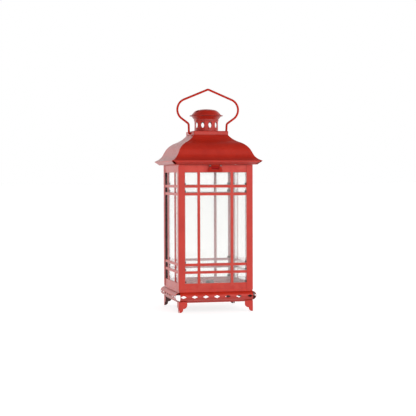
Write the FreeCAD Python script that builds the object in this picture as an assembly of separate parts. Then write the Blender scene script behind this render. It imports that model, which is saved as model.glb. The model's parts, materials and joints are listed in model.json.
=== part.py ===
import FreeCAD, Part
import math
import os

# Square candle lantern in painted sheet steel: glazed body, hinged ogee roof
# with a vented chimney, wire bail handle and a front hasp.
# Millimetres. Origin at the centre of the plan, on the ground; X to the right,
# Y to the back, Z up. The front faces -Y.

# ---- driving dimensions ----
HALF = 75.0                 # half width of the body over its corner posts
SHEET = 0.8                 # thickness of the sheet steel
GAP = 0.28                  # gap between the closed roof and the body

SIDES = {"front": 0, "right": 90, "back": 180, "left": 270}
CORNERS = {"front_right": 0, "rear_right": 90, "rear_left": 180, "front_left": 270}

POST_LEG = 12.8
POST_BOTTOM = 42.6
BODY_TOP = 289.4
CORNER_BEND = 1.2

PANEL_FACE = HALF - SHEET   # outer face of the window panels, behind the posts
PANEL_BACK = PANEL_FACE - SHEET
PANEL_BOTTOM = 44.2
WINDOW_HALF = 62.5
WINDOW_BOTTOM = 57.0
WINDOW_TOP = 274.5
MUNTIN_AT = 33.4
MUNTIN_SHIFT = -0.9         # the two muntins sit a little to the left, seen from outside
MUNTIN_WIDTH = 5.4
BAR_HEIGHT = 5.2
BAR_LEVELS = (78.6, 93.6, 231.8, 247.0)
LIP_DEPTH = 1.0
LIP_SHEET = 0.6

GLASS = 2.0
GLASS_HALF = 66.0
GLASS_FACE = PANEL_BACK - LIP_DEPTH
GLASS_TOP = 281.0
CLIP_SHEET = 0.5
CLIP_HEIGHT = 4.0
CLIP_REACH = 59.5
CLIP_LEVELS = (59.6, 84.0, 98.4, 237.0, 252.0)

FLOOR_TOP = 48.0
FLOOR_SKIRT = 41.0          # bottom edge of the floor's turned-down skirt
TOP_FRAME_DROP = 8.0
TOP_FRAME_INNER = 66.0

CUP_X = 5.0
CUP_R = 8.0
CUP_HEIGHT = 8.0
CUP_RIM = 0.9

BAND_MID = 31.0
BAND_R = 8.6                # radius of the half-round bulge
BAND_FILLET = 1.2
BAND_EDGE_ANGLE = 80.0      # how far the bulge turns out of the vertical
BAND_STRIP = 2.0            # plain strip under the bulge
BAND_HALF = PANEL_BACK
DIAMOND_COUNT = 7
DIAMOND_PITCH = 22.3
DIAMOND_WIDTH = 12.2
DIAMOND_HEIGHT = 5.7

FOOT_TOP = 21.3
FOOT_INNER = 58.2
FOOT_LOBE_R = 7.5
FOOT_TOE_R = 6.4
FOOT_TIP = 73.6
FOOT_SLANT_TOP = 12.0

SOFFIT_BOTTOM = BODY_TOP + GAP
SOFFIT_HALF = 83.0
SOFFIT_INNER = 70.0
LIP_GAP = 4.4               # open corner between the ends of two drip lips
LIP_GAP_TOP = 296.3

COLLAR_HALF = 35.5
COLLAR_TOP = 357.1
COLLAR_BOTTOM = 349.5
COLLAR_BEND = 1.8
COLLAR_FLANGE_HALF = 34.4

ROOF_START = (COLLAR_HALF - SHEET, 349.4)
ROOF_HEADING = -54.0
ROOF_REACH = 110.0          # each panel is cut to its quarter from a strip this long
ROOF_HOOK_IN = 0.5          # depth of the tab that hooks the panel to the collar
ROOF_TAB_RISE = 1.4
LIP_FALL_ANGLE = 38.0       # slope of the return under the drip lip

CHIMNEY_X = -1.4            # the chimney sits a little to the left
CHIMNEY_R = 24.0
CHIMNEY_TOP = 384.0
VENT_COUNT = 10
VENT_LEVEL = 370.0
VENT_WIDTH = 6.4
VENT_HEIGHT = 12.0
VENT_TURN = 5.0             # turn of the first vent away from the front, degrees
FLARE_RIM_R = 32.0
FLARE_ANGLE = 50.0
BRIM_BOTTOM = 388.3
CAP_TOP = 402.0
CAP_HOLE_R = 2.8
CAP_HOLE_AT = (-20.6, -10.5)
HEM_R = 0.75                # rolled hem round the cap's brim
HEM_AT = 33.05

HANDLE_R = 2.1
HANDLE_PIVOT = (-6.0, 352.4)    # Y and Z of the pivot axis
HANDLE_LEAN = 3.0               # forward lean at rest, degrees
HANDLE_LEG_X = 38.7
HANDLE_END_X = 31.0
HANDLE_HOOK_R = 3.0
HANDLE_LEG_ANGLE = 88.0         # the legs rise almost upright
HANDLE_LEG = 14.0
HANDLE_NECK_R = 6.0
HANDLE_NECK_ANGLE = 36.0
HANDLE_NECK = 14.8
HANDLE_SHOULDER_R = 22.0
HANDLE_SLOPE = 22.5             # slope of the two straight top runs
HANDLE_PEAK_R = 5.0
PIVOT_CLEARANCE = 0.08

HINGE_AXIS = (78.0, 286.6)      # Y and Z of the roof hinge
HINGE_PIN_R = 1.25
HINGE_KNUCKLE_R = 2.2
HINGE_HALF = 22.0
HINGE_MIDDLE = 10.0
HINGE_LEAF_BOTTOM = 276.4
HINGE_RIVETS = (-18.0, -8.0, 8.0, 18.0)
HINGE_RIVET_LEVEL = 280.0
ROOF_RIVETS = (-7.0, 7.0)
ROOF_RIVET_Y = 81.6
RIVET_SPHERE_R = 1.8
RIVET_SHANK_R = 0.9
PIN_HEAD = 0.8
PIN_CLEARANCE = 0.06
SIDE_CLEARANCE = 0.3

HASP_X = -1.8                   # the hasp sits a little to the left
HASP_AXIS = (-79.2, 287.4)      # Y and Z of the hasp pin
HASP_PIN_R = 1.0
HASP_KNUCKLE_R = 1.9
HASP_KNUCKLE_HALF = 7.6
HASP_EYE_OUTER = 9.2
HASP_BALL_R = 1.6
HASP_PLATE = 1.2
HASP_TOP_HALF = 11.4
HASP_BOTTOM_HALF = 14.8
HASP_SHOULDER = 285.4
HASP_SLOT_BOTTOM = 279.7
HASP_BOTTOM = 275.6
HASP_CORNER_R = 1.6
HASP_FOOT_HALF = 2.6            # half depth of the bracket's foot under the soffit
CATCH_HALF = 7.4
CATCH_BEAD_R = 2.0
CATCH_LEVEL = 283.9


# ---- helpers ----
def vec(x, y, z):
    return FreeCAD.Vector(x, y, z)


def block(x0, x1, y0, y1, z0, z1):
    return Part.makeBox(x1 - x0, y1 - y0, z1 - z0, vec(x0, y0, z0))


def rod(y, z, x0, x1, r):
    """Round bar along X."""
    return Part.makeCylinder(r, x1 - x0, vec(x0, y, z), vec(1, 0, 0))


def turned(shape, degrees):
    """Copy of a shape turned about the lantern's vertical axis."""
    copy = shape.copy()
    copy.rotate(vec(0, 0, 0), vec(0, 0, 1), degrees)
    return copy


def direction(degrees):
    return math.cos(math.radians(degrees)), math.sin(math.radians(degrees))


def trace(start, heading, moves, offset, place):
    """Edges of a path of lines and tangent arcs, shifted to its right by offset.

    A move is (length,) for a line or (radius, turn) for an arc, with the turn
    in degrees, positive to the left. place maps plane coordinates to space.
    """
    cx, cy = direction(heading - 90)
    u = start[0] + offset * cx
    v = start[1] + offset * cy
    edges = []
    for move in moves:
        if len(move) == 1:
            dx, dy = direction(heading)
            end = (u + move[0] * dx, v + move[0] * dy)
            edges.append(Part.makeLine(place(u, v), place(*end)))
        else:
            radius, turn = move
            side = 1 if turn > 0 else -1
            radius = radius + side * offset
            nx, ny = direction(heading + side * 90)
            centre = (u + radius * nx, v + radius * ny)
            mx, my = direction(heading - side * 90 + turn / 2)
            middle = (centre[0] + radius * mx, centre[1] + radius * my)
            heading = heading + turn
            ex, ey = direction(heading - side * 90)
            end = (centre[0] + radius * ex, centre[1] + radius * ey)
            arc = Part.Arc(place(u, v), place(*middle), place(*end))
            edges.append(arc.toShape())
        u, v = end
    return edges


def ends(edges):
    return edges[0].Vertexes[0].Point, edges[-1].Vertexes[-1].Point


def sheet_section(start, heading, moves, place, thickness=SHEET):
    """Face of a bent sheet whose outer surface follows the path."""
    outer = trace(start, heading, moves, 0, place)
    inner = trace(start, heading, moves, thickness, place)
    first_out, last_out = ends(outer)
    first_in, last_in = ends(inner)
    caps = [Part.makeLine(first_out, first_in), Part.makeLine(last_out, last_in)]
    wire = Part.Wire(Part.__sortEdges__(outer + inner + caps))
    return Part.Face(wire)


def side_place(x):
    """Plane across the front side: u runs outwards, v runs up."""
    return lambda u, v: vec(x, -u, v)


def side_strip(start, heading, moves, half, thickness=SHEET):
    """Bent sheet running along the front side."""
    section = sheet_section(start, heading, moves, side_place(-half), thickness)
    return section.extrude(vec(2 * half, 0, 0))


def spun(start, heading, moves, thickness=SHEET):
    """Bent sheet turned round the lantern's axis."""
    section = sheet_section(start, heading, moves, lambda u, v: vec(u, 0, v), thickness)
    return section.revolve(vec(0, 0, 0), vec(0, 0, 1), 360)


def corner_angle(leg, z0, z1):
    """Folded corner angle at the front right corner."""
    flat = leg - CORNER_BEND
    moves = [(flat,), (CORNER_BEND, 90), (flat,)]
    section = sheet_section((HALF - leg, -HALF), 0, moves, lambda u, v: vec(u, v, z0), -SHEET)
    return section.extrude(vec(0, 0, z1 - z0))


def prism(points, along):
    return Part.Face(Part.makePolygon(points + points[:1])).extrude(along)


def write(name, shape):
    os.makedirs("parts", exist_ok=True)
    shape.exportStep("parts/" + name + ".step")


# ---- body ----
def window_openings():
    """(x0, x1, z0, z1) of each opening in a window panel."""
    half_muntin = MUNTIN_WIDTH / 2
    left = MUNTIN_SHIFT - MUNTIN_AT
    right = MUNTIN_SHIFT + MUNTIN_AT
    columns = [(-WINDOW_HALF, left - half_muntin), (left + half_muntin, right - half_muntin),
               (right + half_muntin, WINDOW_HALF)]
    lows = [WINDOW_BOTTOM] + [level + BAR_HEIGHT / 2 for level in BAR_LEVELS]
    highs = [level - BAR_HEIGHT / 2 for level in BAR_LEVELS] + [WINDOW_TOP]
    return [(x0, x1, z0, z1) for x0, x1 in columns for z0, z1 in zip(lows, highs)]


def window_panel(half):
    """Sheet with fifteen openings, each edged by a lip turned into the lantern."""
    panel = block(-half, half, -PANEL_FACE, -PANEL_BACK, PANEL_BOTTOM, BODY_TOP)
    lips = []
    holes = []
    for x0, x1, z0, z1 in window_openings():
        lips.append(block(x0 - LIP_SHEET, x1 + LIP_SHEET, -PANEL_BACK, -GLASS_FACE,
                          z0 - LIP_SHEET, z1 + LIP_SHEET))
        holes.append(block(x0, x1, -HALF, -GLASS_FACE + 1, z0, z1))
    return panel.multiFuse(lips).cut(Part.makeCompound(holes)).removeSplitter()


def glass_pane():
    return block(-GLASS_HALF, GLASS_HALF, -GLASS_FACE, GLASS - GLASS_FACE, FLOOR_TOP, GLASS_TOP)


def glass_clip(level):
    """Bent tab that holds the right edge of the front pane."""
    side = GLASS_HALF + SIDE_CLEARANCE
    inner_face = GLASS - GLASS_FACE
    z0 = level - CLIP_HEIGHT / 2
    z1 = level + CLIP_HEIGHT / 2
    post = block(side, side + CLIP_SHEET, -PANEL_BACK, inner_face + CLIP_SHEET, z0, z1)
    arm = block(CLIP_REACH, side + CLIP_SHEET, inner_face, inner_face + CLIP_SHEET, z0, z1)
    return post.fuse(arm).removeSplitter()


def glass_clips():
    """All the glass tabs, as one group of separate solids."""
    tabs = []
    for level in CLIP_LEVELS:
        right = glass_clip(level)
        left = right.mirror(vec(0, 0, 0), vec(1, 0, 0))
        for turn in SIDES.values():
            tabs += [turned(right, turn), turned(left, turn)]
    return Part.makeCompound(tabs)


def top_frame():
    """Angle ring inside the top edge of the four panels."""
    out = PANEL_BACK
    wall = out - SHEET
    ring = block(-out, out, -out, out, BODY_TOP - TOP_FRAME_DROP, BODY_TOP)
    below = block(-wall, wall, -wall, wall, BODY_TOP - TOP_FRAME_DROP - 1, BODY_TOP - SHEET)
    inner = TOP_FRAME_INNER
    mouth = block(-inner, inner, -inner, inner, BODY_TOP - TOP_FRAME_DROP - 1, BODY_TOP + 1)
    return ring.cut(below).cut(mouth)


def floor_pan():
    """Floor with its edges turned down to carry the panels and the bands."""
    out = PANEL_BACK
    wall = out - SHEET
    pan = block(-out, out, -out, out, FLOOR_SKIRT, FLOOR_TOP)
    return pan.cut(block(-wall, wall, -wall, wall, FLOOR_SKIRT - 1, FLOOR_TOP - SHEET))


def candle_cup():
    foot = vec(CUP_X, 0, FLOOR_TOP)
    cup = Part.makeCylinder(CUP_R, CUP_HEIGHT, foot)
    rim = Part.makeTorus(CUP_R, CUP_RIM / 2, foot + vec(0, 0, CUP_HEIGHT - CUP_RIM / 2))
    bore = Part.makeCylinder(CUP_R - SHEET, CUP_HEIGHT, foot + vec(0, 0, SHEET))
    return cup.fuse(rim).cut(bore)


def skirt_band():
    """Half-round band with diamond piercings, for the front side."""
    run = BAND_FILLET * math.sin(math.radians(BAND_EDGE_ANGLE))
    half_height = BAND_R * math.sin(math.radians(BAND_EDGE_ANGLE)) + run
    top_strip = PANEL_BOTTOM - BAND_MID - half_height
    moves = [(top_strip,), (BAND_FILLET, BAND_EDGE_ANGLE), (BAND_R, -2 * BAND_EDGE_ANGLE),
             (BAND_FILLET, BAND_EDGE_ANGLE), (BAND_STRIP,)]
    band = side_strip((PANEL_FACE, PANEL_BOTTOM), -90, moves, BAND_HALF)
    diamonds = []
    for index in range(DIAMOND_COUNT):
        x = (index - (DIAMOND_COUNT - 1) / 2) * DIAMOND_PITCH
        points = [vec(x - DIAMOND_WIDTH / 2, -HALF - 2, BAND_MID),
                  vec(x, -HALF - 2, BAND_MID - DIAMOND_HEIGHT / 2),
                  vec(x + DIAMOND_WIDTH / 2, -HALF - 2, BAND_MID),
                  vec(x, -HALF - 2, BAND_MID + DIAMOND_HEIGHT / 2)]
        diamonds.append(prism(points, vec(0, -BAND_R, 0)))
    return band.cut(Part.makeCompound(diamonds))


def foot_outline(place):
    """Scalloped outline of one foot flange; u runs out to the corner, v up."""
    lobe_v = FOOT_TOE_R + 1.1 + FOOT_LOBE_R
    lobe_u = FOOT_INNER + FOOT_LOBE_R
    toe_u = lobe_u + 0.6
    toe_end = toe_u + FOOT_TOE_R
    dx, dy = direction(225)
    lobe = Part.Arc(place(FOOT_INNER, lobe_v),
                    place(lobe_u + FOOT_LOBE_R * dx, lobe_v + FOOT_LOBE_R * dy),
                    place(lobe_u, lobe_v - FOOT_LOBE_R)).toShape()
    toe = Part.Arc(place(toe_u, FOOT_TOE_R),
                   place(toe_end + FOOT_TOE_R * dx, FOOT_TOE_R + FOOT_TOE_R * dy),
                   place(toe_end, 0)).toShape()
    corner = [place(toe_end, 0), place(FOOT_TIP, 0), place(HALF, FOOT_SLANT_TOP),
              place(HALF, FOOT_TOP), place(FOOT_INNER, FOOT_TOP), place(FOOT_INNER, lobe_v)]
    step = [place(lobe_u, lobe_v - FOOT_LOBE_R), place(toe_u, lobe_v - FOOT_LOBE_R),
            place(toe_u, FOOT_TOE_R)]
    edges = [lobe, toe] + Part.makePolygon(corner).Edges + Part.makePolygon(step).Edges
    return Part.Face(Part.Wire(Part.__sortEdges__(edges)))


def corner_foot():
    """Folded foot of two scalloped flanges, at the front right corner."""
    front = foot_outline(lambda u, v: vec(u, -HALF, v)).extrude(vec(0, SHEET, 0))
    side = foot_outline(lambda u, v: vec(HALF, -u, v)).extrude(vec(-SHEET, 0, 0))
    return corner_angle(HALF - FOOT_INNER + 1, 0, FOOT_TOP).common(front.fuse(side))


def latch_catch():
    """Plate on the top rail with a rounded bead behind the hasp's slot."""
    half_plate = CATCH_BEAD_R + 1.4
    plate = block(-CATCH_HALF, CATCH_HALF, -HALF, -PANEL_FACE,
                  CATCH_LEVEL - half_plate, CATCH_LEVEL + half_plate)
    neck = block(-CATCH_HALF, CATCH_HALF, -HALF - CATCH_BEAD_R, -HALF,
                 CATCH_LEVEL - CATCH_BEAD_R / 2, CATCH_LEVEL + CATCH_BEAD_R / 2)
    bead_y = HASP_AXIS[0] + HASP_PLATE / 2 + SIDE_CLEARANCE + 0.1 + CATCH_BEAD_R
    bead = rod(bead_y, CATCH_LEVEL, -CATCH_HALF, CATCH_HALF, CATCH_BEAD_R)
    bead = bead.cut(block(-HALF, HALF, -PANEL_FACE, 0, 0, BODY_TOP))
    catch = plate.fuse(neck).fuse(bead).removeSplitter()
    return catch.translated(vec(HASP_X, 0, 0))


# ---- roof hinge ----
def leaf_rivet(x, y, z, axis):
    """Rivet with a low domed head; axis points out of the leaf."""
    place = vec(x, y, z)
    head = Part.makeSphere(RIVET_SPHERE_R, place - axis * RIVET_SPHERE_R / 2, axis, 30, 90, 360)
    shank = Part.makeCylinder(RIVET_SHANK_R, SHEET, place - axis * SHEET, axis)
    return head.fuse(shank).removeSplitter()


def body_leaf_rivets():
    return [leaf_rivet(x, HALF, HINGE_RIVET_LEVEL, vec(0, 1, 0)) for x in HINGE_RIVETS]


def roof_leaf_rivets():
    face = SOFFIT_BOTTOM - SHEET
    return [leaf_rivet(x, ROOF_RIVET_Y, face, vec(0, 0, -1)) for x in ROOF_RIVETS]


def hinge_leaf_body():
    y, z = HINGE_AXIS
    low = z - HINGE_KNUCKLE_R
    leaf = block(-HINGE_HALF, HINGE_HALF, PANEL_FACE, HALF, HINGE_LEAF_BOTTOM, low + SHEET)
    for side in (-1, 1):
        x0, x1 = sorted((side * (HINGE_MIDDLE + SIDE_CLEARANCE), side * HINGE_HALF))
        web = block(x0, x1, PANEL_FACE, y, low, low + SHEET)
        knuckle = rod(y, z, x0, x1, HINGE_KNUCKLE_R)
        leaf = leaf.fuse(web).fuse(knuckle)
    bore = rod(y, z, -HINGE_HALF - 1, HINGE_HALF + 1, HINGE_PIN_R)
    return leaf.cut(bore).cut(Part.makeCompound(body_leaf_rivets())).removeSplitter()


def hinge_leaf_roof():
    y, z = HINGE_AXIS
    half = HINGE_MIDDLE
    plate = block(-half, half, y, SOFFIT_HALF, SOFFIT_BOTTOM - SHEET, SOFFIT_BOTTOM)
    web = block(-half, half, y, y + HINGE_KNUCKLE_R, z, SOFFIT_BOTTOM)
    leaf = plate.fuse(web).fuse(rod(y, z, -half, half, HINGE_KNUCKLE_R))
    bore = rod(y, z, -half - 1, half + 1, HINGE_PIN_R + PIN_CLEARANCE)
    return leaf.cut(bore).cut(Part.makeCompound(roof_leaf_rivets())).removeSplitter()


def hinge_pin():
    y, z = HINGE_AXIS
    pin = rod(y, z, -HINGE_HALF, HINGE_HALF, HINGE_PIN_R)
    head_r = (HINGE_PIN_R + HINGE_KNUCKLE_R) / 2
    heads = [rod(y, z, -HINGE_HALF - PIN_HEAD, -HINGE_HALF, head_r),
             rod(y, z, HINGE_HALF, HINGE_HALF + PIN_HEAD, head_r)]
    return pin.multiFuse(heads).removeSplitter()


# ---- roof ----
def mitre_wedge(inset):
    """Upright wedge of the front quarter of the plan, set back by inset."""
    reach = ROOF_REACH
    points = [vec(0, -inset, 0), vec(-reach, -reach - inset, 0), vec(reach, -reach - inset, 0)]
    return prism(points, vec(0, 0, CAP_TOP))


def roof_moves():
    """Ogee slope, rolled drip lip, and a return that falls flat onto the soffit."""
    slope = [(43.0, 30), (3.8,), (35.0, -41), (6.9,), (24.0, 43), (1.2,), (1.5, -120)]
    foot = [(1.0, -LIP_FALL_ANGLE), (3.0,)]
    end = ends(trace(ROOF_START, ROOF_HEADING, slope + foot, 0, side_place(0)))[1]
    fall = (end.z - SOFFIT_BOTTOM - SHEET) / math.sin(math.radians(LIP_FALL_ANGLE))
    return slope + [(fall,)] + foot


def roof_panel():
    """Ogee sheet with a rolled drip lip and a return to the soffit, mitred at the hips."""
    reach = ROOF_REACH
    panel = side_strip(ROOF_START, ROOF_HEADING, roof_moves(), reach)
    tab = block(-COLLAR_HALF, COLLAR_HALF, -ROOF_START[0], SHEET - ROOF_START[0],
                ROOF_START[1] - ROOF_HOOK_IN, COLLAR_BOTTOM + ROOF_TAB_RISE)
    panel = panel.fuse(tab).common(mitre_wedge(0))
    lip_ends = block(-reach, reach, -reach, 0, BODY_TOP, LIP_GAP_TOP).cut(mitre_wedge(LIP_GAP))
    return panel.cut(lip_ends).removeSplitter()


def placed_roof_panel(turn):
    """Roof panel on its side, notched round the handle's ends."""
    y, z = HANDLE_PIVOT
    notch = rod(y, z, -COLLAR_HALF - 5, COLLAR_HALF + 5, HANDLE_R + 0.8)
    return turned(roof_panel(), turn).cut(notch)


def roof_soffit():
    top = SOFFIT_BOTTOM + SHEET
    plate = block(-SOFFIT_HALF, SOFFIT_HALF, -SOFFIT_HALF, SOFFIT_HALF, SOFFIT_BOTTOM, top)
    inner = SOFFIT_INNER
    return plate.cut(block(-inner, inner, -inner, inner, SOFFIT_BOTTOM - 1, top + 1))


def roof_collar():
    """Square top plate with turned-down flanges, open at the corners."""
    flat = COLLAR_HALF - COLLAR_BEND
    drop = COLLAR_TOP - COLLAR_BEND - COLLAR_BOTTOM
    moves = [(flat,), (COLLAR_BEND, -90), (drop,)]
    quarter = side_strip((0, COLLAR_TOP), 0, moves, COLLAR_HALF + 1).common(mitre_wedge(0))
    collar = quarter.multiFuse([turned(quarter, turn) for turn in (90, 180, 270)])
    slit = block(COLLAR_FLANGE_HALF, COLLAR_HALF + 1, COLLAR_FLANGE_HALF, COLLAR_HALF + 1,
                 COLLAR_BOTTOM - 1, COLLAR_TOP - COLLAR_BEND)
    slits = Part.makeCompound([turned(slit, turn) for turn in SIDES.values()])
    flue = Part.makeCylinder(CHIMNEY_R - SHEET, COLLAR_TOP, vec(CHIMNEY_X, 0, COLLAR_BOTTOM))
    y, z = HANDLE_PIVOT
    pivots = rod(y, z, -COLLAR_HALF - 1, COLLAR_HALF + 1, HANDLE_R + PIVOT_CLEARANCE)
    return collar.cut(slits).cut(flue).cut(pivots).removeSplitter()


def chimney_tube():
    """Round flue with a ring of tall oval vents."""
    height = CHIMNEY_TOP - COLLAR_TOP
    foot = vec(0, 0, COLLAR_TOP)
    wall = Part.makeCylinder(CHIMNEY_R, height, foot)
    wall = wall.cut(Part.makeCylinder(CHIMNEY_R - SHEET, height, foot))
    oval = Part.Ellipse(vec(0, 0, 0), VENT_HEIGHT / 2, VENT_WIDTH / 2).toShape()
    vent = Part.Face(Part.Wire([oval])).extrude(vec(0, 0, 2 * CHIMNEY_R))
    vent.rotate(vec(0, 0, 0), vec(0, 1, 0), 90)
    vent.rotate(vec(0, 0, 0), vec(0, 0, 1), -90 + VENT_TURN)
    vent.translate(vec(0, 0, VENT_LEVEL))
    vents = [turned(vent, index * 360 / VENT_COUNT) for index in range(VENT_COUNT)]
    return wall.cut(Part.makeCompound(vents)).translated(vec(CHIMNEY_X, 0, 0))


def chimney_flare():
    """Cone that opens from the flue to the underside of the cap's brim."""
    start = (FLARE_RIM_R, BRIM_BOTTOM - SHEET)
    rim = [(1.2,), (1.5, FLARE_ANGLE)]
    sleeve = [(1.2, 90 - FLARE_ANGLE), (3.0,)]
    end = ends(trace(start, 180, rim + sleeve, 0, side_place(0)))[1]
    cone = (-end.y - CHIMNEY_R - SHEET) / math.cos(math.radians(FLARE_ANGLE))
    return spun(start, 180, rim + [(cone,)] + sleeve).translated(vec(CHIMNEY_X, 0, 0))


def chimney_cap():
    """Flat-topped domed cap with a thin hemmed brim and two small holes in its shoulder."""
    moves = [(80.0, -13), (13.0, -35), (8.54,), (1.5, 48), (1.2,)]
    cap = spun((0, CAP_TOP), 0, moves)
    cap = cap.fuse(Part.makeTorus(HEM_AT, HEM_R, vec(0, 0, BRIM_BOTTOM + SHEET / 2)))
    hole = Part.makeCylinder(CAP_HOLE_R, CAP_TOP - BRIM_BOTTOM, vec(*CAP_HOLE_AT, BRIM_BOTTOM))
    return cap.cut(hole).cut(turned(hole, 180)).translated(vec(CHIMNEY_X, 0, 0))


# ---- hasp ----
def hasp_bracket():
    """Knuckle under the soffit that carries the hasp pin."""
    y, z = HASP_AXIS
    half = HASP_KNUCKLE_HALF
    foot = HASP_FOOT_HALF
    plate = block(-half, half, y - foot, y + foot, SOFFIT_BOTTOM - SHEET, SOFFIT_BOTTOM)
    web = block(-half, half, y - SHEET / 2, y + SHEET / 2, z, SOFFIT_BOTTOM)
    bracket = plate.fuse(web).fuse(rod(y, z, -half, half, HASP_KNUCKLE_R))
    bracket = bracket.cut(rod(y, z, -half - 1, half + 1, HASP_PIN_R)).removeSplitter()
    return bracket.translated(vec(HASP_X, 0, 0))


def hasp_pin():
    """Steel pin with a ball at each end."""
    y, z = HASP_AXIS
    ball_x = HASP_EYE_OUTER + 0.15 + HASP_BALL_R
    pin = rod(y, z, -ball_x, ball_x, HASP_PIN_R)
    balls = [Part.makeSphere(HASP_BALL_R, vec(side * ball_x, y, z)) for side in (-1, 1)]
    return pin.multiFuse(balls).removeSplitter().translated(vec(HASP_X, 0, 0))


def hasp_loop():
    """Flat slotted loop, wider at its foot, with an eye at the top of each leg."""
    y, z = HASP_AXIS
    inner = HASP_KNUCKLE_HALF + SIDE_CLEARANCE
    back = y + HASP_PLATE / 2
    outline = [vec(-HASP_TOP_HALF, back, HASP_SHOULDER), vec(-HASP_BOTTOM_HALF, back, HASP_BOTTOM),
               vec(HASP_BOTTOM_HALF, back, HASP_BOTTOM), vec(HASP_TOP_HALF, back, HASP_SHOULDER)]
    plate = prism(outline, vec(0, -HASP_PLATE, 0))
    corners = [edge for edge in plate.Edges
               if abs(edge.CenterOfMass.y - y) < 0.01 and abs(edge.CenterOfMass.x) > 1]
    plate = plate.makeFillet(HASP_CORNER_R, corners)
    eyes = []
    for side in (-1, 1):
        x0, x1 = sorted((side * inner, side * HASP_EYE_OUTER))
        eyes.append(rod(y, z, x0, x1, HASP_KNUCKLE_R))
        eyes.append(block(x0, x1, y - HASP_PLATE / 2, back, HASP_SHOULDER - 1, z))
    slot = block(-inner, inner, y - HASP_PLATE, back + HASP_PLATE, HASP_SLOT_BOTTOM, z)
    bore = rod(y, z, -HASP_BOTTOM_HALF, HASP_BOTTOM_HALF, HASP_PIN_R + PIN_CLEARANCE)
    loop = plate.multiFuse(eyes).cut(slot).cut(bore).removeSplitter()
    return loop.translated(vec(HASP_X, 0, 0))


# ---- handle ----
def handle_half():
    """Centre line of the right half of the bail, from its end to its peak."""
    def place(u, v):
        return vec(u, 0, v)

    moves = [(HANDLE_LEG_X - HANDLE_HOOK_R - HANDLE_END_X,), (HANDLE_HOOK_R, HANDLE_LEG_ANGLE),
             (HANDLE_LEG,), (HANDLE_NECK_R, HANDLE_NECK_ANGLE - HANDLE_LEG_ANGLE), (HANDLE_NECK,),
             (HANDLE_SHOULDER_R, 180 - HANDLE_SLOPE - HANDLE_NECK_ANGLE)]
    edges = trace((HANDLE_END_X, 0), 0, moves, 0, place)
    shoulder = edges[-1].Vertexes[-1].Point
    across, up = direction(HANDLE_SLOPE)
    top = (shoulder.x - HANDLE_PEAK_R * up) / across
    peak = [(top,), (HANDLE_PEAK_R, HANDLE_SLOPE)]
    return edges + trace((shoulder.x, shoulder.z), 180 - HANDLE_SLOPE, peak, 0, place)


def carry_handle():
    """Bent wire bail: hooked ends, straight legs, round shoulders, pointed top."""
    right = handle_half()
    left = [edge.mirror(vec(0, 0, 0), vec(1, 0, 0)) for edge in right]
    path = Part.Wire(Part.__sortEdges__(right + left))
    ring = Part.Wire([Part.Circle(vec(HANDLE_END_X, 0, 0), vec(1, 0, 0), HANDLE_R).toShape()])
    bail = path.makePipeShell([ring], True, True)
    bail.rotate(vec(0, 0, 0), vec(1, 0, 0), HANDLE_LEAN)
    bail.translate(vec(0, HANDLE_PIVOT[0], HANDLE_PIVOT[1]))
    return bail


# ---- build ----
def body_parts():
    parts = {"top_frame": top_frame(), "floor_pan": floor_pan(), "candle_cup": candle_cup(),
             "glass_clips": glass_clips(), "latch_catch": latch_catch(),
             "hinge_leaf_body": hinge_leaf_body(), "hinge_pin": hinge_pin(),
             "hinge_rivets_body": Part.makeCompound(body_leaf_rivets())}
    for corner, turn in CORNERS.items():
        parts["corner_post_" + corner] = turned(corner_angle(POST_LEG, POST_BOTTOM, BODY_TOP), turn)
        parts["corner_foot_" + corner] = turned(corner_foot(), turn)
    for side, turn in SIDES.items():
        half = PANEL_FACE + SHEET - CORNER_BEND if side in ("front", "back") else PANEL_BACK
        parts["window_panel_" + side] = turned(window_panel(half), turn)
        parts["glass_pane_" + side] = turned(glass_pane(), turn)
        parts["skirt_band_" + side] = turned(skirt_band(), turn)
    return parts


def roof_parts():
    parts = {"roof_soffit": roof_soffit(), "roof_collar": roof_collar(),
             "chimney_tube": chimney_tube(), "chimney_flare": chimney_flare(),
             "chimney_cap": chimney_cap(), "hinge_leaf_roof": hinge_leaf_roof(),
             "hinge_rivets_roof": Part.makeCompound(roof_leaf_rivets()),
             "hasp_bracket": hasp_bracket(), "hasp_pin": hasp_pin()}
    for side, turn in SIDES.items():
        parts["roof_panel_" + side] = placed_roof_panel(turn)
    return parts


def main():
    parts = body_parts()
    parts.update(roof_parts())
    parts["carry_handle"] = carry_handle()
    parts["hasp_loop"] = hasp_loop()
    for name, shape in parts.items():
        write(name, shape)


main()
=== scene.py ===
import json
import math

import bmesh
import bpy
from mathutils import Matrix, Vector


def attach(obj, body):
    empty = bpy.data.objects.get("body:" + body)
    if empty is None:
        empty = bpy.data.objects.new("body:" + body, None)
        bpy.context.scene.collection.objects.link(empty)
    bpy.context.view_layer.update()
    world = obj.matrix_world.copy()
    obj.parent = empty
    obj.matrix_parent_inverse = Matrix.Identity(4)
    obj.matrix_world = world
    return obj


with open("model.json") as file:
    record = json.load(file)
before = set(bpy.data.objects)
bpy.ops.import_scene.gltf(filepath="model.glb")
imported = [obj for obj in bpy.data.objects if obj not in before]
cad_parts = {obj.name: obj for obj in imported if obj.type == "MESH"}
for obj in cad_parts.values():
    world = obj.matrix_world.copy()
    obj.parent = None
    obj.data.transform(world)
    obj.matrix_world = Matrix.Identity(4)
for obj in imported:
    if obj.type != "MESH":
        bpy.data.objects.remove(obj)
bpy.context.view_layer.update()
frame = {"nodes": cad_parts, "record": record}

# Looks of a square candle lantern: satin red paint on sheet steel, clear panes,
# bright pins. Metres, in the frame of the CAD model: the front faces -Y.

MM = 0.001

# ---- view ----
CAMERA_AT = Vector((-0.5473, -2.3073, 0.2637))
CAMERA_YAW = 0.234          # radians to the right of +Y
CAMERA_PITCH = 0.026        # radians below the horizon
CAMERA_ROLL = -0.003
SENSOR = 36.0
LENS = 101.49
CLIP_END = 200.0
SHIFT = (-0.0011, 0.0007)

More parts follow.
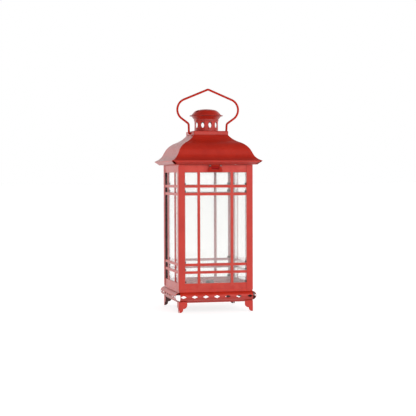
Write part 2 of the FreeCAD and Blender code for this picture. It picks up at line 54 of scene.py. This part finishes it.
# ---- colours, linear ----
RED = (0.600, 0.0200, 0.0050)
RED_DEEP = (0.520, 0.0140, 0.0030)
BODY_REDS = (RED_DEEP, RED)
# darker copies of the body red for the hasp and the catch: painted shade
HASP_REDS_SHADED = ((0.380, 0.0110, 0.0040), (0.450, 0.0150, 0.0050))
CATCH_REDS_SHADED = ((0.400, 0.0030, 0.0050), (0.470, 0.0040, 0.0060))
BAND_REDS = ((0.620, 0.0200, 0.0050), (0.700, 0.0280, 0.0080))
# darker copies of the body red for the chimney flare and the floor pan, the floor's also greyer:
# painted shade
FLARE_REDS_SHADED = ((0.380, 0.0120, 0.0040), (0.440, 0.0160, 0.0050))
FLOOR_REDS_SHADED = ((0.260, 0.0480, 0.0400), (0.325, 0.0700, 0.0620))
RED_WORN = (0.640, 0.0600, 0.0350)
# dark of the fine chips, and also of the painted shade in seams
CHIP_AND_SHADE_DARK = (0.055, 0.018, 0.014)
# deeper red along the lower edges of the roof lip and the skirt band: painted shade
LOWER_EDGE_SHADE = (0.300, 0.0120, 0.0060)
LIP_SHADE_HEIGHTS = (0.2930, 0.2975, 0.8)        # heights in metres where the painted shade is deepest and where
BAND_SHADE_HEIGHTS = (0.0270, 0.0350, 0.8)       # that ends, and how far it goes towards the shade colour above
# near-black on inner and downward faces as painted shade: in the hollows of the feet, band and
# floor pan, and inside the chimney, flare and cap
INSIDE_SHADE_DARK = (0.030, 0.0045, 0.004)
CHIMNEY_SHADE_DARK = (0.006, 0.003, 0.003)
# pale pink on the window panels' inner faces as painted reflection
INSIDE_REFLECTION_PINK = (0.62, 0.23, 0.245)
INNER_FACE_COVER = 0.92      # how much of the red gives way, on inner and downward faces, to the painted shade and the pale painted reflection
STEEL = (0.36, 0.35, 0.34)
STEEL_TARNISH = (0.12, 0.11, 0.11)
STEEL_DULL = (0.30, 0.32, 0.31)
TAB_DARK = (0.060, 0.020, 0.018)
PANE_TINT = (0.955, 0.957, 0.947)
PANE_SMEAR = (0.965, 0.98, 0.975)
PANE_SHADOW = (0.98, 0.99, 0.985, 1.0)      # light that a lamp sends through a pane
ZINC_DARK = (0.20, 0.21, 0.205)
TAB_OVERSPRAY = (0.16, 0.022, 0.018)
STRIP_DARK = (0.022, 0.010, 0.010)
STRIP_FLECKS = (0.24, 0.16, 0.15)
WHITE = (1.0, 1.0, 1.0, 1.0)
CREASE_SHADE_REACH = 0.0022         # metres from a seam that its painted shade reaches
CREASE_SHADE = 0.75            # how far the painted shade darkens a seam at most
HAZE = 0.16                 # share of chalky red in the cloudy patches
EDGE_WEAR = 0.45            # share of worn red on convex edges
# how far the painted shade spreads from seams on the front window panel, and on the hasp and catch
FRONT_SHADE_REACH = 0.0055
HASP_SHADE_REACH = 0.0035
RUNS = (1.0, 1.0, 0.16)     # stretch that turns clouds into vertical runs
FLOOR_TONE = (0.60, 0.60, 0.60)
FLOOR_FIBRE = (0.64, 0.64, 0.64)
FLOOR_GLOW = 0.78           # the paper is lit from below, as on a light table

# ---- left window, millimetres, as in the CAD ----
WINDOW_BOTTOM = 57.0
WINDOW_TOP = 274.5
BAR_LEVELS = (78.6, 93.6, 231.8, 247.0)
BAR_HEIGHT = 5.2
STRIP_OUTSIDE = -73.3
STRIP_INSIDE = -72.45
STRIP_REAR = 62.45
STRIP_FRONT = 48.5
STRIP_STEP = 3.0

# ---- light ----
HORIZON = 1.12              # brightness of the surroundings at eye level
ZENITH = 0.14
BACKDROP = 1.0              # what the camera sees behind the lantern
BEHIND_GLASS = 1.12         # what it sees there through the panes, which dim it
INTO_CHAMBER = 2.7          # light on the inside, raised beyond what the panes let through
LEFT_SHARE = 0.30           # brightness left over on the far left
KEY_LIGHT = {"at": (1.2, -1.9, 1.0), "aim": (0, 0, 0.22), "size": (1.4, 1.4), "watts": 9.0}
RIM_LIGHT = {"at": (-1.5, 1.6, 0.7), "aim": (0, 0, 0.25), "size": (1.2, 1.6), "watts": 6.0}
FLOOR_HALF = 40.0
FLOOR_DROP = 0.0002         # keeps the floor from meeting the feet


# ---- the reds, by part of the lantern ----
# Inner and downward faces get painted shade on the feet, band, floor pan, flare, chimney and cap,
# and painted reflection on the window panels; the front panel, hasp and catch get painted shade
# spread further from seams; the roof lip and band get painted shade along their lower edges; the
# hasp, catch, flare and floor pan use darker reds as painted shade.
RED_PAINTS = {
    "red_paint": {},
    "paint_shaded_inside": {"painted_light_faces": "axis"},
    "paint_roof": {"lower_shade": LIP_SHADE_HEIGHTS},
    "paint_band": {"reds": BAND_REDS, "painted_light_faces": "axis", "lower_shade": BAND_SHADE_HEIGHTS},
    "paint_floor_shaded": {"reds": FLOOR_REDS_SHADED, "painted_light_faces": "under"},
    "paint_reflecting_inside": {"painted_light_faces": "axis", "under": INSIDE_REFLECTION_PINK},
    "paint_front_panel": {"painted_light_faces": "axis", "under": INSIDE_REFLECTION_PINK, "reach": FRONT_SHADE_REACH},
    "flare_paint": {"reds": FLARE_REDS_SHADED, "painted_light_faces": "axis", "under": CHIMNEY_SHADE_DARK},
    "paint_chimney_shaded_inside": {"painted_light_faces": "axis", "under": CHIMNEY_SHADE_DARK},
    "paint_cap_shaded_under": {"painted_light_faces": "under", "under": CHIMNEY_SHADE_DARK},
    "wire_paint": {"gloss": 0.08, "coat": 0.0},
    "hasp_paint": {"reds": HASP_REDS_SHADED, "gloss": 0.12, "coat": 0.0, "reach": HASP_SHADE_REACH},
    "catch_paint": {"reds": CATCH_REDS_SHADED, "gloss": 0.10, "coat": 0.0, "reach": HASP_SHADE_REACH},
}


# ---- node helpers ----
def new_material(name):
    material = bpy.data.materials.new(name)
    material.use_nodes = True
    tree = material.node_tree
    tree.nodes.clear()
    output = tree.nodes.new("ShaderNodeOutputMaterial")
    return material, tree, output


def add(tree, kind, **settings):
    node = tree.nodes.new(kind)
    for key, value in settings.items():
        setattr(node, key, value)
    return node


def noise(tree, place, scale, detail=4.0, roughness=0.5, distortion=0.0):
    node = add(tree, "ShaderNodeTexNoise")
    node.inputs["Scale"].default_value = scale
    node.inputs["Detail"].default_value = detail
    node.inputs["Roughness"].default_value = roughness
    node.inputs["Distortion"].default_value = distortion
    tree.links.new(place, node.inputs["Vector"])
    return node.outputs["Fac"]


def ramp(tree, value, low, high, to_low=0.0, to_high=1.0):
    node = add(tree, "ShaderNodeMapRange", interpolation_type="SMOOTHSTEP")
    node.inputs["From Min"].default_value = low
    node.inputs["From Max"].default_value = high
    node.inputs["To Min"].default_value = to_low
    node.inputs["To Max"].default_value = to_high
    tree.links.new(value, node.inputs["Value"])
    return node.outputs["Result"]


def math_node(tree, operation, first, second):
    node = add(tree, "ShaderNodeMath", operation=operation)
    for socket, value in zip(node.inputs, (first, second)):
        if isinstance(value, (int, float)):
            socket.default_value = value
        else:
            tree.links.new(value, socket)
    return node.outputs[0]


def mix_colour(tree, share, first, second):
    node = add(tree, "ShaderNodeMix", data_type="RGBA")
    tree.links.new(share, node.inputs["Factor"])
    for socket, value in ((node.inputs[6], first), (node.inputs[7], second)):
        if isinstance(value, tuple):
            socket.default_value = (*value, 1.0)
        else:
            tree.links.new(value, socket)
    return node.outputs[2]


def bump(tree, height, distance, strength, below=None):
    node = add(tree, "ShaderNodeBump")
    node.inputs["Strength"].default_value = strength
    node.inputs["Distance"].default_value = distance
    tree.links.new(height, node.inputs["Height"])
    if below is not None:
        tree.links.new(below, node.inputs["Normal"])
    return node.outputs["Normal"]


def object_place(tree, stretch=(1.0, 1.0, 1.0)):
    """Object coordinates, which are the lantern's own metres."""
    coordinates = add(tree, "ShaderNodeTexCoord")
    mapping = add(tree, "ShaderNodeMapping")
    mapping.inputs["Scale"].default_value = stretch
    tree.links.new(coordinates.outputs["Object"], mapping.inputs["Vector"])
    return mapping.outputs["Vector"]


def inner_faces(tree, way):
    """1 on the faces turned towards the lantern's axis, or on those turned down."""
    coordinates = add(tree, "ShaderNodeTexCoord")
    if way == "under":
        split = add(tree, "ShaderNodeSeparateXYZ")
        tree.links.new(coordinates.outputs["Normal"], split.inputs["Vector"])
        return ramp(tree, split.outputs["Z"], -0.6, -0.3, 1.0, 0.0)
    flat = add(tree, "ShaderNodeVectorMath", operation="MULTIPLY")
    flat.inputs[1].default_value = (1.0, 1.0, 0.0)
    tree.links.new(coordinates.outputs["Object"], flat.inputs[0])
    outwards = add(tree, "ShaderNodeVectorMath", operation="NORMALIZE")
    tree.links.new(flat.outputs["Vector"], outwards.inputs[0])
    facing = add(tree, "ShaderNodeVectorMath", operation="DOT_PRODUCT")
    tree.links.new(outwards.outputs["Vector"], facing.inputs[0])
    tree.links.new(coordinates.outputs["Normal"], facing.inputs[1])
    return ramp(tree, facing.outputs["Value"], -0.22, -0.06, 1.0, 0.0)


def edges_worn(tree, low, high):
    """1 on convex edges, 0 elsewhere."""
    geometry = add(tree, "ShaderNodeNewGeometry")
    return ramp(tree, geometry.outputs["Pointiness"], low, high)


# ---- materials ----
def red_paint(name, reds=BODY_REDS, gloss=0.5, coat=0.1, painted_light_faces=None, under=INSIDE_SHADE_DARK,
              reach=CREASE_SHADE_REACH, lower_shade=None):
    """Satin enamel: cloudy depth, orange peel, paler edges, a few fine chips.

    Faces turned to the axis ("axis") or turned down ("under") can take the under
    colour in place of the red: a dark one as painted shade, a pale pink one as
    painted reflection. reach is how far painted shade spreads from a seam. A lower
    edge can take a deeper red as painted shade, between two given heights.
    """
    material, tree, output = new_material(name)
    place = object_place(tree)
    runs = object_place(tree, RUNS)
    clouds = noise(tree, place, 26.0, 3.0, 0.55)
    streaks = noise(tree, runs, 90.0, 4.0, 0.6, 0.4)
    grime = noise(tree, place, 210.0, 5.0, 0.65)
    peel = noise(tree, place, 950.0, 2.0, 0.5)
    specks = noise(tree, place, 1500.0, 1.0, 0.4)
    patches = noise(tree, place, 60.0, 4.0, 0.6)

    depth = math_node(tree, "MULTIPLY", clouds, 0.65)
    depth = math_node(tree, "ADD", depth, math_node(tree, "MULTIPLY", streaks, 0.35))
    colour = mix_colour(tree, ramp(tree, depth, 0.36, 0.66), *reds)
    # deeper red towards a lower edge: painted shade
    if lower_shade:
        full, none, share = lower_shade
        split = add(tree, "ShaderNodeSeparateXYZ")
        tree.links.new(place, split.inputs["Vector"])
        shaded_lower = ramp(tree, split.outputs["Z"], full, none, share, 0.0)
        colour = mix_colour(tree, shaded_lower, colour, LOWER_EDGE_SHADE)
    haze = math_node(tree, "MULTIPLY", ramp(tree, grime, 0.48, 0.80), HAZE)
    colour = mix_colour(tree, haze, colour, RED_WORN)
    worn = math_node(tree, "MULTIPLY", edges_worn(tree, 0.52, 0.64), ramp(tree, patches, 0.35, 0.6))
    worn = math_node(tree, "MULTIPLY", worn, EDGE_WEAR)
    colour = mix_colour(tree, worn, colour, RED_WORN)
    chips = math_node(tree, "MULTIPLY", ramp(tree, specks, 0.745, 0.77),
                      ramp(tree, patches, 0.58, 0.66))
    colour = mix_colour(tree, chips, colour, CHIP_AND_SHADE_DARK)

    # darker red in seams and creases from ambient occlusion, on outer faces: painted shade
    crease = add(tree, "ShaderNodeAmbientOcclusion", samples=6)
    crease.inputs["Distance"].default_value = reach
    closed_in = ramp(tree, crease.outputs["AO"], 0.25, 0.85, 1.0, 0.0)
    seam_shade = math_node(tree, "MULTIPLY", closed_in, CREASE_SHADE)
    outside = math_node(tree, "SUBTRACT", 1.0, inner_faces(tree, "axis"))
    colour = mix_colour(tree, math_node(tree, "MULTIPLY", seam_shade, outside), colour, CHIP_AND_SHADE_DARK)
    # inner or downward faces take the under colour: painted shade where it is dark, painted
    # reflection where it is pale pink
    if painted_light_faces:
        inner_painted_light = math_node(tree, "MULTIPLY", inner_faces(tree, painted_light_faces), INNER_FACE_COVER)
        colour = mix_colour(tree, inner_painted_light, colour, under)

    shader = add(tree, "ShaderNodeBsdfPrincipled")
    tree.links.new(colour, shader.inputs["Base Color"])
    tree.links.new(ramp(tree, grime, 0.30, 0.75, 0.30, 0.44), shader.inputs["Roughness"])
    shader.inputs["IOR"].default_value = 1.5
    shader.inputs["Specular IOR Level"].default_value = gloss
    shader.inputs["Coat Weight"].default_value = coat
    shader.inputs["Coat Roughness"].default_value = 0.16
    surface = bump(tree, peel, 0.00009, 0.35)
    surface = bump(tree, streaks, 0.0006, 0.16, surface)
    surface = bump(tree, chips, -0.0001, 0.5, surface)
    tree.links.new(surface, shader.inputs["Normal"])
    tree.links.new(shader.outputs["BSDF"], output.inputs["Surface"])
    return material


def clear_pane():
    """Float glass with faint wiping marks; it lets lamps through."""
    material, tree, output = new_material("clear_glass")
    place = object_place(tree)
    wiped = object_place(tree, (1.0, 1.0, 0.25))
    smears = noise(tree, wiped, 55.0, 5.0, 0.6, 1.2)
    dust = noise(tree, place, 900.0, 3.0, 0.6)
    marks = math_node(tree, "MULTIPLY", ramp(tree, smears, 0.5, 0.78), ramp(tree, dust, 0.35, 0.7))
    shader = add(tree, "ShaderNodeBsdfPrincipled")
    tint = mix_colour(tree, marks, PANE_TINT, PANE_SMEAR)
    tree.links.new(tint, shader.inputs["Base Color"])
    tree.links.new(ramp(tree, marks, 0.0, 1.0, 0.0, 0.045), shader.inputs["Roughness"])
    shader.inputs["IOR"].default_value = 1.45
    shader.inputs["Transmission Weight"].default_value = 0.94
    clear = add(tree, "ShaderNodeBsdfTransparent")
    clear.inputs["Color"].default_value = PANE_SHADOW
    path = add(tree, "ShaderNodeLightPath")
    mix = add(tree, "ShaderNodeMixShader")
    tree.links.new(path.outputs["Is Shadow Ray"], mix.inputs[0])
    tree.links.new(shader.outputs["BSDF"], mix.inputs[1])
    tree.links.new(clear.outputs["BSDF"], mix.inputs[2])
    tree.links.new(mix.outputs["Shader"], output.inputs["Surface"])
    return material


def metal(name, colour, dark, roughness, stretch, scale):
    """Bare metal with drawn marks and dull patches."""
    material, tree, output = new_material(name)
    place = object_place(tree)
    drawn = noise(tree, object_place(tree, stretch), scale, 5.0, 0.7)
    patches = noise(tree, place, 320.0, 4.0, 0.6)
    shader = add(tree, "ShaderNodeBsdfPrincipled")
    share = ramp(tree, math_node(tree, "MULTIPLY", drawn, patches), 0.12, 0.36)
    tree.links.new(mix_colour(tree, share, dark, colour), shader.inputs["Base Color"])
    rough = ramp(tree, patches, 0.3, 0.7, roughness - 0.07, roughness + 0.13)
    tree.links.new(rough, shader.inputs["Roughness"])
    shader.inputs["Metallic"].default_value = 1.0
    tree.links.new(bump(tree, drawn, 0.00006, 0.4), shader.inputs["Normal"])
    tree.links.new(shader.outputs["BSDF"], output.inputs["Surface"])
    return material


def galvanised():
    """Dull zinc with crystal spangle."""
    material, tree, output = new_material("grey_steel")
    place = object_place(tree)
    spangle = add(tree, "ShaderNodeTexVoronoi", feature="F1")
    spangle.inputs["Scale"].default_value = 420.0
    tree.links.new(place, spangle.inputs["Vector"])
    tone = add(tree, "ShaderNodeSeparateColor")
    tree.links.new(spangle.outputs["Color"], tone.inputs["Color"])
    shader = add(tree, "ShaderNodeBsdfPrincipled")
    colour = mix_colour(tree, ramp(tree, tone.outputs["Red"], 0.0, 1.0), ZINC_DARK, STEEL_DULL)
    tree.links.new(colour, shader.inputs["Base Color"])
    rough = ramp(tree, tone.outputs["Green"], 0.0, 1.0, 0.38, 0.58)
    tree.links.new(rough, shader.inputs["Roughness"])
    shader.inputs["Metallic"].default_value = 0.85
    stain = noise(tree, place, 700.0, 4.0, 0.6)
    tree.links.new(bump(tree, stain, 0.00008, 0.4), shader.inputs["Normal"])
    tree.links.new(shader.outputs["BSDF"], output.inputs["Surface"])
    return material


def dark_tab():
    """Oxidised strip with thin red overspray."""
    material, tree, output = new_material("dark_steel")
    place = object_place(tree)
    mottle = noise(tree, place, 480.0, 5.0, 0.65)
    shader = add(tree, "ShaderNodeBsdfPrincipled")
    colour = mix_colour(tree, ramp(tree, mottle, 0.42, 0.62), TAB_DARK, TAB_OVERSPRAY)
    tree.links.new(colour, shader.inputs["Base Color"])
    tree.links.new(ramp(tree, mottle, 0.3, 0.7, 0.42, 0.62), shader.inputs["Roughness"])
    tree.links.new(bump(tree, mottle, 0.0001, 0.5), shader.inputs["Normal"])
    tree.links.new(shader.outputs["BSDF"], output.inputs["Surface"])
    return material


def dark_strip_finish():
    """Rough dark finish with paler flecks and a fine streaky bump."""
    material, tree, output = new_material("dark_strip_finish")
    place = object_place(tree)
    flecks = noise(tree, place, 330.0, 4.0, 0.7)
    fibre = noise(tree, object_place(tree, (1.0, 1.0, 0.3)), 1400.0, 3.0, 0.6)
    colour = mix_colour(tree, ramp(tree, flecks, 0.52, 0.66), STRIP_DARK, STRIP_FLECKS)
    shader = add(tree, "ShaderNodeBsdfPrincipled")
    tree.links.new(colour, shader.inputs["Base Color"])
    tree.links.new(ramp(tree, fibre, 0.3, 0.7, 0.85, 1.0), shader.inputs["Roughness"])
    shader.inputs["Specular IOR Level"].default_value = 0.1
    tree.links.new(bump(tree, fibre, 0.0003, 0.6), shader.inputs["Normal"])
    tree.links.new(shader.outputs["BSDF"], output.inputs["Surface"])
    return material


def floor_paper():
    material, tree, output = new_material("studio_paper")
    place = object_place(tree)
    fibre = noise(tree, place, 260.0, 4.0, 0.6)
    shader = add(tree, "ShaderNodeBsdfPrincipled")
    tone = mix_colour(tree, ramp(tree, fibre, 0.3, 0.7), FLOOR_TONE, FLOOR_FIBRE)
    tree.links.new(tone, shader.inputs["Base Color"])
    shader.inputs["Roughness"].default_value = 0.9
    shader.inputs["Specular IOR Level"].default_value = 0.15
    shader.inputs["Emission Color"].default_value = WHITE
    shader.inputs["Emission Strength"].default_value = FLOOR_GLOW
    tree.links.new(shader.outputs["BSDF"], output.inputs["Surface"])
    return material


# ---- finish of the CAD nodes, by how their names start; the first that fits counts ----
NO_BEVEL = ("glass_clips",)
BEVELS = {"candle_cup": 0.12, "hinge_pin": 0.15, "hasp_pin": 0.1, "hasp_loop": 0.3,
          "glass_pane": 0.35}       # millimetres
SHEET_BEVEL = 0.22
BEVEL_ANGLE = 38            # degrees over which an edge counts as cut and is rounded
WELD_REACH = 0.000002
NORMAL_WEIGHT = 90
PAINTS = {"carry_handle": "wire_paint", "hasp_loop": "hasp_paint", "latch_catch": "catch_paint",
          "hasp_bracket": "hasp_paint", "chimney_cap": "paint_cap_shaded_under",
          "chimney_flare": "flare_paint", "chimney_": "paint_chimney_shaded_inside",
          "floor_pan": "paint_floor_shaded", "roof_panel": "paint_roof",
          "skirt_band": "paint_band", "corner_foot": "paint_shaded_inside",
          "window_panel_front": "paint_front_panel", "window_panel": "paint_reflecting_inside"}


def bevel_width(node):
    for start, width in BEVELS.items():
        if node.startswith(start):
            return width
    return SHEET_BEVEL


def soften_edges(node, piece):
    """Welds the shell, rounds the cut edges of the sheet and shades curves smooth."""
    weld = piece.modifiers.new("weld", "WELD")
    weld.merge_threshold = WELD_REACH
    if node not in NO_BEVEL:
        bevel = piece.modifiers.new("edge", "BEVEL")
        bevel.width = bevel_width(node) * MM
        bevel.segments = 2
        bevel.limit_method = "ANGLE"
        bevel.angle_limit = math.radians(BEVEL_ANGLE)
        bevel.use_clamp_overlap = True
    even = piece.modifiers.new("even", "WEIGHTED_NORMAL")
    even.mode = "FACE_AREA_WITH_ANGLE"
    even.weight = NORMAL_WEIGHT
    even.keep_sharp = False
    piece.data.shade_smooth()


def material_of(node, materials, slot):
    for start, name in PAINTS.items():
        if node.startswith(start):
            return materials[name]
    return materials[slot]


def dress(materials):
    slots = {part["node"]: part["material_slot"] for part in frame["record"]["subparts"]}
    for node, piece in frame["nodes"].items():
        piece.data.materials.clear()
        piece.data.materials.append(material_of(node, materials, slots[node]))
        soften_edges(node, piece)


# ---- pieces added to the CAD ----
def wavy(z):
    """Sideways wander of an uneven edge at height z, both in millimetres."""
    return 0.5 * math.sin(0.21 * z) + 0.3 * math.sin(0.53 * z + 1.0)


def strip_length(bm, bottom, top):
    """One length of the dark strip with a wandering front edge, between two glazing bars."""
    steps = max(2, round((top - bottom) / STRIP_STEP))
    rings = []
    for index in range(steps + 1):
        z = bottom + (top - bottom) * index / steps
        front = STRIP_FRONT + wavy(z)
        corners = ((STRIP_OUTSIDE, front), (STRIP_OUTSIDE, STRIP_REAR),
                   (STRIP_INSIDE, STRIP_REAR), (STRIP_INSIDE, front))
        rings.append([bm.verts.new((x * MM, y * MM, z * MM)) for x, y in corners])
    for low, high in zip(rings, rings[1:]):
        for side in range(4):
            bm.faces.new((low[side], low[side - 1], high[side - 1], high[side]))
    bm.faces.new(rings[0])
    bm.faces.new(reversed(rings[-1]))


def dark_strip(material):
    """Dark strip along the rear edge of the left window, between sheet and pane."""
    mesh = bpy.data.meshes.new("dark_strip")
    bm = bmesh.new()
    bottoms = [WINDOW_BOTTOM] + [level + BAR_HEIGHT / 2 for level in BAR_LEVELS]
    tops = [level - BAR_HEIGHT / 2 for level in BAR_LEVELS] + [WINDOW_TOP]
    for bottom, top in zip(bottoms, tops):
        strip_length(bm, bottom, top)
    bmesh.ops.recalc_face_normals(bm, faces=bm.faces)
    bm.to_mesh(mesh)
    bm.free()
    strip_object = bpy.data.objects.new("dark_strip", mesh)
    strip_object.data.materials.append(material)
    bpy.context.scene.collection.objects.link(strip_object)
    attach(strip_object, "body")


# ---- studio ----
def studio_floor():
    mesh = bpy.data.meshes.new("studio_floor")
    bm = bmesh.new()
    bmesh.ops.create_grid(bm, x_segments=8, y_segments=8, size=FLOOR_HALF)
    bm.to_mesh(mesh)
    bm.free()
    floor = bpy.data.objects.new("studio_floor", mesh)
    floor.location.z = -FLOOR_DROP
    floor.data.materials.append(floor_paper())
    bpy.context.scene.collection.objects.link(floor)


def studio_world():
    """White surroundings, bright at eye level, dim overhead and on the far left."""
    world = bpy.data.worlds.new("studio")
    bpy.context.scene.world = world
    world.use_nodes = True
    tree = world.node_tree
    tree.nodes.clear()
    coordinates = add(tree, "ShaderNodeTexCoord")
    split = add(tree, "ShaderNodeSeparateXYZ")
    tree.links.new(coordinates.outputs["Generated"], split.inputs["Vector"])
    height = ramp(tree, split.outputs["Z"], 0.10, 0.95, HORIZON, ZENITH)
    side = ramp(tree, split.outputs["X"], -0.95, -0.35, LEFT_SHARE, 1.0)
    light = math_node(tree, "MULTIPLY", height, side)
    path = add(tree, "ShaderNodeLightPath")
    scattered = math_node(tree, "GREATER_THAN", path.outputs["Diffuse Depth"], 0.5)
    inwards = math_node(tree, "MULTIPLY", path.outputs["Is Transmission Ray"], scattered)
    for ray, brightness in ((path.outputs["Is Transmission Ray"], BEHIND_GLASS),
                            (inwards, INTO_CHAMBER), (path.outputs["Is Camera Ray"], BACKDROP)):
        choice = add(tree, "ShaderNodeMix", data_type="FLOAT")
        tree.links.new(ray, choice.inputs[0])
        tree.links.new(light, choice.inputs[2])
        choice.inputs[3].default_value = brightness
        light = choice.outputs[0]
    background = add(tree, "ShaderNodeBackground")
    background.inputs["Color"].default_value = WHITE
    tree.links.new(light, background.inputs["Strength"])
    output = add(tree, "ShaderNodeOutputWorld")
    tree.links.new(background.outputs["Background"], output.inputs["Surface"])


def soft_light(name, at, aim, size, watts):
    lamp = bpy.data.lights.new(name, "AREA")
    lamp.shape = "RECTANGLE"
    lamp.size, lamp.size_y = size
    lamp.energy = watts
    light = bpy.data.objects.new(name, lamp)
    light.location = at
    light.rotation_euler = (Vector(aim) - Vector(at)).to_track_quat("-Z", "Y").to_euler()
    bpy.context.scene.collection.objects.link(light)


def studio_lights():
    soft_light("key_front_right", **KEY_LIGHT)
    soft_light("rim_back_left", **RIM_LIGHT)


def camera():
    data = bpy.data.cameras.new("view")
    data.sensor_fit = "HORIZONTAL"
    data.sensor_width = SENSOR
    data.lens = LENS
    data.clip_end = CLIP_END
    data.shift_x, data.shift_y = SHIFT
    sight = Vector((math.sin(CAMERA_YAW) * math.cos(CAMERA_PITCH),
                    math.cos(CAMERA_YAW) * math.cos(CAMERA_PITCH),
                    -math.sin(CAMERA_PITCH)))
    right = sight.cross(Vector((0, 0, 1))).normalized()
    up = right.cross(sight)
    turn = Matrix((right, up, -sight)).transposed() @ Matrix.Rotation(CAMERA_ROLL, 3, "Z")
    view = bpy.data.objects.new("view", data)
    view.matrix_world = Matrix.Translation(CAMERA_AT) @ turn.to_4x4()
    bpy.context.scene.collection.objects.link(view)
    bpy.context.scene.camera = view


def main():
    scene = bpy.context.scene
    scene.view_settings.view_transform = "Standard"
    scene.view_settings.look = "None"
    materials = {name: red_paint(name, **look) for name, look in RED_PAINTS.items()}
    materials.update({
        "clear_glass": clear_pane(),
        "bright_steel": metal("bright_steel", STEEL, STEEL_TARNISH, 0.24, (0.2, 1.0, 1.0), 1400.0),
        "grey_steel": galvanised(),
        "dark_steel": dark_tab(),
    })
    camera()
    dress(materials)
    dark_strip(dark_strip_finish())
    studio_floor()
    studio_world()
    studio_lights()


main()
